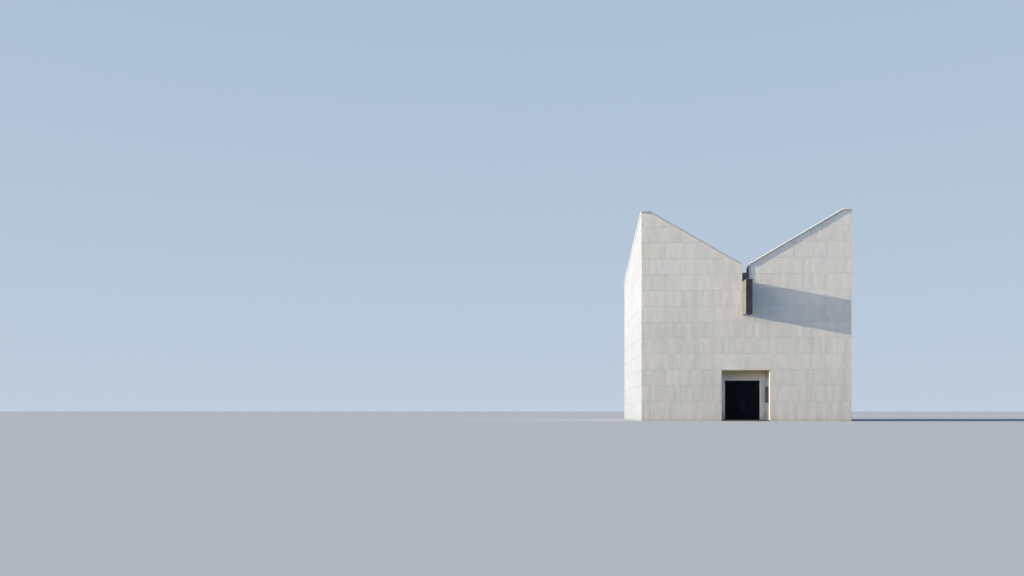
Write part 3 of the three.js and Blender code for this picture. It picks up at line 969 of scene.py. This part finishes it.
def build_upstands(first, last, count):
    """Sheet dressed up the inner faces of the walls, from the roof to the coping, with its seams."""
    face, stand = INNER_X - LINING, UPSTAND_SEAM / 2
    for word, side in SIDES.items():
        shell = Shell(ROOFING)
        shell.moulded(span(side, face, INNER_X), steps(-INNER_Y, INNER_Y, 20), roof_top, side_top)
        foot = [(side * face, y, roof_top(face, y)) for y in (first, last)]
        top = [(side * face, y, side_top(face, y) - SEAM_STOP) for y in (first, last)]
        ribs(shell, count, foot, top, UPSTAND_SEAM, SEAM_WIDTH, (-side * stand, 0.0, 0.0))
        for y, wall_top in ((-INNER_Y, front_top), (INNER_Y, back_top)):
            inwards = -math.copysign(1, y)
            xs = sorted(side * x for x in steps(SLOT_HALF, face, 12))
            shell.moulded(xs, sorted((y, y + inwards * LINING)), roof_top, wall_top)
            ends = side * (SLOT_HALF + SEAM_INSET), side * (face - SEAM_INSET)
            foot = [(x, y, roof_top(x, y)) for x in ends]
            top = [(x, y, wall_top(x, y) - SEAM_STOP) for x in ends]
            lift = (0.0, inwards * (LINING + stand), 0.0)
            ribs(shell, 11, foot, top, SEAM_WIDTH, UPSTAND_SEAM, lift)
        shell.fix(f"upstand_{word}", "roof_membrane")


def build_gutter():
    """Lining of the slot and of the valley gutter."""
    shell = Shell(GUTTER)
    thick, lip, bed, front = 0.003, 0.02, GUTTER_BED, -HALF + 0.012
    inner = SLOT_HALF - thick
    for side in SIDES.values():
        xs = span(side, inner, SLOT_HALF)
        top = lambda x, y: front_top(SLOT_HALF, y)
        shell.moulded(xs, [front, -INNER_Y], level(bed), top, SLOT_SHEET)
        shell.moulded(xs, [-INNER_Y, INNER_Y], level(bed), lambda x, y: roof_top(SLOT_HALF, y))
    shell.box((-inner, front, bed), (inner, INNER_Y, bed + thick))
    xs = [-SLOT_HALF, 0, SLOT_HALF]
    shell.moulded(xs, [INNER_Y - LINING, INNER_Y], level(bed + thick), back_top)
    for y in steps(-INNER_Y, INNER_Y, 6)[1:-1]:
        shell.box((-inner, y - lip, bed + thick), (inner, y + lip, bed + 2 * thick))
    shell.fix("gutter_lining", "spout_metal")
    softened("gutter_trough", ["gutter_bed"], GUTTER, "spout_metal", 0.002)
    frame["nodes"]["valley_beam"].material_slots[0].material = INSIDE


def build_end_plate():
    """The plate at the gutter's front end: a folded rim, a set-back sheet and rivets."""
    low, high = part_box("gutter_end_plate")
    plate = Shell(PLATE)
    rim, fold, thick, lap = 0.03, 0.002, 0.012, 0.0295
    profile = [(0, thick), (0, fold), (fold, 0), (rim - fold, 0), (rim, 2 * fold), (rim, thick)]
    plate.framed((low.x, low.z), (high.x, high.z), profile, lambda u, v, d: (u, low.y + d, v))
    plate.box((low.x + lap, low.y + 0.005, low.z + lap), (high.x - lap, high.y, high.z - lap))
    for z in (low.z + rim / 2, high.z - rim / 2):
        heads(plate, (low.x + 0.05, low.y, z), (high.x - 0.05, low.y, z), 0.13, "front")
    plate.fix("gutter_end", "spout_metal", ["gutter_end_plate"])


# Copings

CAP = 0.13
BEVEL = 0.04
SHEET = 0.0025
DRIP = 0.012
HOLLOW = 0.03
STRAP_HALF = 0.04


def cap_profile(wall, depth, grown=0.0):
    """Section of a coping over a wall: distance out from its inner edge, and height over the wall."""
    top, out, inner = CAP - SHEET + grown, depth - SHEET + grown, -grown
    under, slope, soft = HOLLOW - grown / 2, BEVEL - 0.4 * SHEET, 0.006
    return [
        (inner, 0.0), (wall, 0.0), (wall, under), (out - DRIP, under), (out - DRIP, 0.0),
        (out, 0.0), (out, top - slope), (out - slope, top), (inner + soft, top), (inner, top - soft),
    ]


def end_profile(depth, top=CAP):
    """Section of a closed end, up to a height."""
    shoulder = (depth, CAP - BEVEL), (depth - BEVEL, top)
    return [(0, 0), (depth, 0), *shoulder, (0.006, top), (0, top - 0.004)]


def lay_coping(shell, place, marks, section, bevelled=False):
    """Coping sheets between the marks, with a cover strap over each joint and closed ends."""
    depth = section[1]
    closer = BEVEL if bevelled else 0.014
    tip = end_profile(depth, CAP - BEVEL) if bevelled else end_profile(depth)

    def stretch(low, high, first, last):
        ends = (low, first), (high, last)
        shell.rings([[place(t, a, h) for a, h in profile] for t, profile in ends])

    stretch(marks[0], marks[0] + closer, tip, end_profile(depth))
    stretch(marks[-1] - closer, marks[-1], end_profile(depth), tip)
    joints, gap = marks[1:-1], 0.002
    edges = [marks[0] + closer - gap] + joints + [marks[-1] - closer + gap]
    sheet, strap = cap_profile(*section), cap_profile(*section, SHEET)
    for low, high in zip(edges, edges[1:]):
        stretch(low + gap, high - gap, sheet, sheet)
    for t in joints:
        stretch(t - STRAP_HALF, t + STRAP_HALF, strap, strap)


def build_copings():
    far, joints = INNER_X - NEAR, [PANEL, 2 * PANEL]
    across, along = (HALF - INNER_X, EAVES - INNER_X), (HALF - INNER_Y, EAVES - INNER_Y)
    bond = [-HALF + FIRST_JOINTS[0] + PANEL * i for i in range(6)]
    runs = {
        "side": (side_top, lambda t, a: (INNER_X + a, t), [-EAVES, *bond, EAVES], across),
        "front": (front_top, lambda t, a: (t, -INNER_Y - a), [SLOT_HALF, *joints, far], along),
        "back": (back_top, lambda t, a: (t, INNER_Y + a), [NEAR, *joints, far], along),
    }
    for word, side in SIDES.items():
        for wall, (top, plan, marks, section) in runs.items():
            def place(t, a, h):
                x, y = plan(t, a)
                return side * x, y, top(x, y) + SEAT + h

            shell = Shell(COPING)
            lay_coping(shell, place, marks, section, wall == "side")
            node = f"coping_{word}" if wall == "side" else f"coping_{wall}_{word}"
            shell.fix(f"{wall}_coping_{word}", "coping_metal", [node])
    flashings = ["slot_flashing_left", "slot_flashing_right"]
    obj = softened("slot_flashings", flashings, COPING, "coping_metal", 0.002)
    # Painted shade: the flashings' side faces, which the sun lights, take the dark gutter sheet.
    repainted(obj, GUTTER, lambda at, normal: abs(normal.x) > 0.5)


# Spout

STRAP = 0.05
PROUD = 0.004
SHEET_BACK = 0.0115
WALL_GAP = 0.1
RIVETS = 0.16
RIVET_END = 0.03


def strap_profile(face):
    """Section of a folded strip around a sheet, as insets and depths from its face."""
    fold, deep = 0.001, 0.012
    return [
        (0, deep), (0, face + 1.5 * fold), (1.5 * fold, face), (STRAP - fold, face),
        (STRAP, face + fold), (STRAP, deep),
    ]


def spout_face(shell, place, low, high, face, facing):
    """One face of the box: a folded strip around a sheet, with rivets up both its edges."""
    shell.framed(low, high, strap_profile(face), place)
    inner = [c + STRAP for c in low], [c - STRAP for c in high]
    shell.slab(*inner, place, (face + PROUD, SHEET_BACK), HAIR)
    for u in (low[0] + STRAP / 2, high[0] - STRAP / 2):
        ends = [place(u, v, face) for v in (low[1] + RIVET_END, high[1] - RIVET_END)]
        heads(shell, *ends, RIVETS, facing)


def build_spout():
    reach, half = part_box("spout_front")[0].y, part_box("spout_right")[1].x
    foot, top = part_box("spout_front")[0].z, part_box("spout_front")[1].z
    back, edge, front, end = -HALF, -HALF - WALL_GAP, reach + PROUD, STRAP + 0.05
    for word, side in SIDES.items():
        shell = Shell(SPOUT_SIDE_PAINTED_LIT)
        place = lambda u, v, d: (side * (half - d), u, v)
        spout_face(shell, place, (front, foot), (edge, top), 0.0, word)
        # Painted shade: a dark strip set back along the wall, standing for the gap behind the box.
        shell.slab((edge, foot), (back, top), place, (0.009, 0.0118), HAIR, GUTTER)
        for part in (1 / 3, 2 / 3):
            z = mix(foot, top, part)
            band = (front + STRAP, z - STRAP / 2), (edge - STRAP, z + STRAP / 2)
            shell.slab(*band, place, (0.0, PROUD + 0.001), 0.001)
            heads(shell, place(front + end, z, 0), place(edge - end, z, 0), RIVETS, word)
        shell.fix(f"spout_side_{word}", "spout_metal", [f"spout_{word}"])
    shell = Shell(SPOUT_FRONT_PAINTED_SHADE)
    edge = half - HAIR
    spout_face(shell, lambda u, v, d: (u, reach + d, v), (-edge, foot), (edge, top), 0.003, "front")
    shell.fix("spout_front_sheet", "spout_metal", ["spout_front"])


# Floor

SLAB = 0.6
PAVING = 0.02
FLOOR_JOINT = 0.004
BED = FLOOR - PAVING


def paved(columns, rows, half, front, back, seed):
    """A bed of slabs on filler over a stretch of floor, equally wide on both sides of the middle."""
    shell = Shell(STONE)
    SLABS.grow(
        shell, Columns=columns, Rows=rows, Width=2 * half, Length=back - front, Thickness=PAVING,
        Joint=FLOOR_JOINT, Chamfer=0.0015, Seed=seed, Turn=FACING["up"], Place=(-half, front, BED),
    )
    return shell


def build_floor():
    columns, rows = round(2 * INNER_X / SLAB), round(2 * INNER_Y / SLAB)
    shell = paved(columns, rows, INNER_X, -INNER_Y, INNER_Y, 3)
    shell.box((-INNER_X, -INNER_Y, 0), (INNER_X, INNER_Y, BED - SEAT), FILLER)
    shell.fix("nave_floor", "floor_stone", ["floor_slab"])

    shell = paved(6, 2, PORTAL_HALF, -HALF, -INNER_Y, 5)
    lip = 0.012
    shell.box((-PORTAL_HALF, -HALF + lip, 0), (PORTAL_HALF, -INNER_Y, BED - SEAT), FILLER)
    for low, high in spans(-PORTAL_HALF, PORTAL_HALF, 3):
        edges = (low + FLOOR_JOINT / 2, 0.0), (high - FLOOR_JOINT / 2, BED - 0.001)
        shell.slab(*edges, lambda u, v, d: (u, -HALF + d, v), (0.002, lip), 0.0015, SHADED_RISER)
    shell.fix("portal_paving", "floor_stone", ["portal_floor"])


# Doors

FRAME_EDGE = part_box("door_frame_right")[0].x
RUNNING_GAP = 0.006
LEAF_IN = RUNNING_GAP / 2
LEAF_OUT = FRAME_EDGE - RUNNING_GAP
LEAF_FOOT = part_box("door_leaf_right")[0].z
LEAF_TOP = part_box("door_leaf_right")[1].z
LEAF_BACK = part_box("door_leaf_right")[1].y
STILE = 0.11
BOARD_SET = 0.006
BOARD_THICK = 0.022
HINGE = {j["child"]: Vector(j["pos_m"]) for j in frame["joints"]}["door_right"]
KNUCKLE = 0.01
KNUCKLE_GAP = 0.0005
HINGE_PLATE = 0.006
HINGE_REACH = 0.043


def door_boards(shell, side, facing):
    """Upright boards between the stiles, on one face of a leaf."""
    low, high = span(side, LEAF_IN + STILE, LEAF_OUT - STILE)
    place = (low, DOOR_FACE + BOARD_SET + BOARD_THICK, LEAF_FOOT + STILE)
    if facing == "back":
        place = (high, LEAF_BACK - BOARD_SET - BOARD_THICK, LEAF_FOOT + STILE)
    length = LEAF_TOP - LEAF_FOOT - 2 * STILE
    SLABS.grow(
        shell, Columns=8, Rows=1, Width=high - low, Length=length, Thickness=BOARD_THICK,
        Joint=0.0004, Chamfer=0.005, Seed=7, Turn=FACING[facing], Place=place,
    )


def hinge_half(shell, side, foot, towards):
    """A knuckle on the hinge line, and the plate that holds it with two screws."""
    low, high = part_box("hinge_right_lower")
    height, soft, screw = high.z - low.z, 0.0012, 0.012
    radii = (KNUCKLE - soft, KNUCKLE, KNUCKLE, KNUCKLE - soft)
    stations = list(zip((0, soft, height - soft, height), radii))
    shell.turned((side * HINGE.x, HINGE.y, foot), (0, 0, 1), stations, 28, STEEL)
    far, front = HINGE.x + towards * HINGE_REACH, DOOR_FACE - HINGE_PLATE
    place = lambda u, v, d: (side * u, front + d, v)
    near, out = sorted((HINGE.x, far))
    depths = (0.0, HINGE_PLATE + 0.0001)
    shell.slab((near, foot), (out, foot + height), place, depths, 0.0008, STEEL)
    x = side * (far - towards * screw)
    ends = (x, front, foot + screw), (x, front, foot + height - screw)
    heads(shell, *ends, 0.036, "front", STEEL, 0.0045, 0.0012)


def build_leaves():
    thick = LEAF_BACK - DOOR_FACE
    soft, step = 0.002, 0.004
    profile = [
        (soft, thick), (0, thick - soft), (0, soft), (soft, 0), (STILE - step, 0),
        (STILE, step), (STILE, thick - step), (STILE - step, thick),
    ]
    place = lambda u, v, d: (u, DOOR_FACE + d, v)
    for word, side in SIDES.items():
        shell = Shell(DOOR)
        low, high = span(side, LEAF_IN, LEAF_OUT)
        shell.framed((low, LEAF_FOOT), (high, LEAF_TOP), profile, place)
        rim, deep = STILE - 0.01, BOARD_SET + BOARD_THICK / 2
        corner = (low + rim, DOOR_FACE + deep, LEAF_FOOT + rim)
        shell.box(corner, (high - rim, LEAF_BACK - deep, LEAF_TOP - rim))
        for facing in ("front", "back"):
            door_boards(shell, side, facing)
        for height in ("lower", "upper"):
            hinge_half(shell, side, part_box(f"hinge_right_{height}")[1].z + KNUCKLE_GAP, -1)
        shell.fix(f"leaf_{word}", "door_paint", [f"door_leaf_{word}"], f"door_{word}")


def build_pulls():
    post, rose = 0.01, 0.024
    for word in SIDES:
        low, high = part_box(f"door_pull_{word}")
        radius, length = (high.x - low.x) / 2, high.z - low.z
        x, y = (low.x + high.x) / 2, low.y + radius
        turns = steps(0.15, math.pi / 2, 5)
        dome = [(radius * (1 - math.cos(a)), radius * math.sin(a)) for a in turns]
        shell = Shell(DARK_STEEL)
        stations = dome + [(length - d, r) for d, r in reversed(dome)]
        shell.turned((x, y, low.z), (0, 0, 1), stations, 28)
        reach = DOOR_FACE - y
        for part in (0.13, 0.87):
            stations = [(0, post), (reach - 0.012, post), (reach - 0.008, 0.017)]
            stations += [(reach - 0.007, 0.022), (reach - 0.001, rose), (reach, rose)]
            shell.turned((x, y, mix(low.z, high.z, part)), (0, 1, 0), stations, 24)
        shell.fix(f"pull_{word}", "steel", [f"door_pull_{word}"], f"door_{word}")


def build_frame():
    frames = ["door_frame_left", "door_frame_right", "door_frame_head"]
    softened("door_frame", frames, DOOR, "door_paint", 0.003)
    build_threshold()
    for word, side in SIDES.items():
        for height in ("lower", "upper"):
            node = f"hinge_{word}_{height}"
            shell = Shell(STEEL)
            hinge_half(shell, side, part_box(node)[0].z, 1)
            shell.fix(f"fixed_{node}", "steel", [node])


def build_threshold():
    """A ribbed steel strip under the leaves."""
    low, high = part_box("door_sill")
    margin, edge, pitch = 0.012, 0.001, 0.0145
    first, groove = low.y + margin, high.z - 0.0035
    section = [(low.y + edge, low.z), (low.y + edge, groove)]
    for i in range(int((high.y - margin - first) / pitch)):
        y = first + pitch * i
        section += [(y, groove), (y + 0.003, high.z), (y + 0.008, high.z), (y + 0.011, groove)]
    section += [(high.y - edge, groove), (high.y - edge, low.z)]
    shell = Shell(DARK_STEEL)
    shell.rings([[(x, y, z) for y, z in section] for x in (low.x, high.x)])
    shell.fix("threshold", "steel", ["door_sill"])


# Notice case

def build_notice_case():
    low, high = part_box("notice_case")
    corners, place = ((low.y, low.z), (high.y, high.z)), lambda u, v, d: (low.x + d, u, v)
    shell = Shell(CASE)
    thick, rail, soft, deep = high.x - low.x, 0.045, 0.004, 0.055
    profile = [(0, thick), (0, soft), (soft, 0), (rail - soft, 0), (rail, soft), (rail, deep)]
    shell.framed(*corners, profile + [(rail, thick)], place)
    rim = rail - 0.003
    pane = (low.y + rim, low.z + rim), (high.y - rim, high.z - rim)
    shell.slab(*pane, place, (0.05, thick - 0.001), 0.001, BOARD)
    shell.slab(*pane, place, (0.014, 0.018), HAIR, GLASS)
    hold, reach, seat = rail - 0.002, rail + 0.008, 0.0135
    shell.framed(*corners, [(hold, seat), (hold, 0.008), (reach, 0.011), (reach, seat)], place)
    for part in (0.2, 0.8):
        stations = [(0, 0.006), (0.001, 0.007), (0.079, 0.007), (0.08, 0.006)]
        start = (low.x + 0.008, high.y + 0.002, mix(low.z, high.z, part) - 0.04)
        shell.turned(start, (0, 0, 1), stations, 16, STEEL)
    lock = (low.x - 0.001, low.y + rail / 2, mix(low.z, high.z, 0.5))
    shell.turned(lock, (1, 0, 0), [(0, 0.011), (0.002, 0.012), (0.004, 0.012)], 20, STEEL)
    shell.fix("notice_cabinet", "case_paint", ["notice_case"])


# Stage, light and camera

STAGE = 900


def build_stage():
    mesh = bpy.data.meshes.new("stage_floor")
    corners = rectangle(-STAGE, STAGE, -STAGE, STAGE)
    mesh.from_pydata([(x, y, -NEAR) for x, y in corners], [], [(0, 1, 2, 3)])
    colour = (0.335, 0.385, 0.465, 1)
    r = Recipe("stage_floor", Base_Color=colour, Roughness=0.95, Specular_IOR_Level=0.0)
    mesh.materials.append(r.material)
    placed("stage_floor", mesh)


def build_surroundings():
    """A plain pale backdrop on all sides, and soft light that is bluer from before the building."""
    world = bpy.data.worlds.new("studio")
    bpy.context.scene.world = world
    world.use_nodes = True
    g = Graph(world.node_tree)
    towards = g.node("ShaderNodeTexCoord", output="Generated")
    height = g.part(towards, "Z")
    reach = {"Value": g.part(towards, "Y"), "From Min": -0.1, "From Max": 0.8}
    behind = g.node("ShaderNodeMapRange", reach, interpolation_type="SMOOTHSTEP")
    around = g.blend((0.097, 0.217, 0.356), (0.48, 0.565, 0.675), behind)
    light = g.blend(around, (0.13, 0.245, 0.44), height)
    shown = g.blend((0.52, 0.61, 0.72), (0.27, 0.4, 0.6), height)
    seen = g.node("ShaderNodeLightPath", output="Is Camera Ray")
    backdrop = world.node_tree.nodes["Background"]
    world.node_tree.links.new(g.blend(light, shown, seen).socket, backdrop.inputs["Color"])
    backdrop.inputs["Strength"].default_value = 1.0


FRONT_PIECES = (
    "front_", "portal_", "lintel", "gutter_", "slot_", "spout_", "leaf_", "pull_", "door_", "fixed_",
    "threshold", "notice_", "stage_", "side_coping", "back_coping",
)


def pieces_to_light():
    """The front with all that stands on it and the copings, and the other walls and the roof."""
    front, others = (bpy.data.collections.new(name) for name in ("lit_as_front", "lit_as_sides"))
    for obj in bpy.context.scene.objects:
        if obj.type == "MESH":
            (front if obj.name.startswith(FRONT_PIECES) else others).objects.link(obj)
    return front, others


def add_sun(name, energy, travel, softness, colour, pieces):
    light = bpy.data.lights.new(name, "SUN")
    light.energy = energy
    light.angle = math.radians(softness)
    light.color = colour
    lamp = placed(name, light)
    lamp.rotation_mode = "QUATERNION"
    lamp.rotation_quaternion = Vector(travel).to_track_quat("-Z", "Y")
    lamp.light_linking.receiver_collection = pieces


def build_lights():
    """A strong sun grazes the front; the other walls and the roof take a weaker one from there."""
    front, others = pieces_to_light()
    from_left = (7.4, 0.46, -1.42)
    add_sun("key", 14.7, from_left, 0.8, (1.0, 0.81, 0.53), front)
    add_sun("glow", 4.1, (1, 0.1, -0.15), 60, (1.0, 0.855, 0.73), front)
    add_sun("side_key", 3.1, from_left, 0.8, (1.0, 0.93, 0.84), others)
    add_sun("side_fill", 1.0, (-1, 0.1, -0.4), 60, (1.0, 0.85, 0.66), others)


def build_camera():
    """The photograph's viewpoint: level, a little left of the middle, low over the ground."""
    camera = bpy.data.cameras.new("camera")
    camera.lens = 29.1
    camera.shift_y = 0.1201
    camera.clip_end = 2000
    obj = placed("camera", camera)
    obj.location = (-14.19, -70.94, 0.76)
    obj.rotation_euler = (math.radians(90), 0, math.radians(3.095))
    bpy.context.scene.camera = obj


build_front()
build_back()
build_sides()
build_portal()
build_roof()
build_gutter()
build_end_plate()
build_copings()
build_spout()
build_floor()
build_leaves()
build_pulls()
build_frame()
build_notice_case()
build_stage()
build_surroundings()
build_lights()
build_camera()
bpy.context.scene.view_settings.view_transform = "Standard"

bpy.context.view_layer.update()
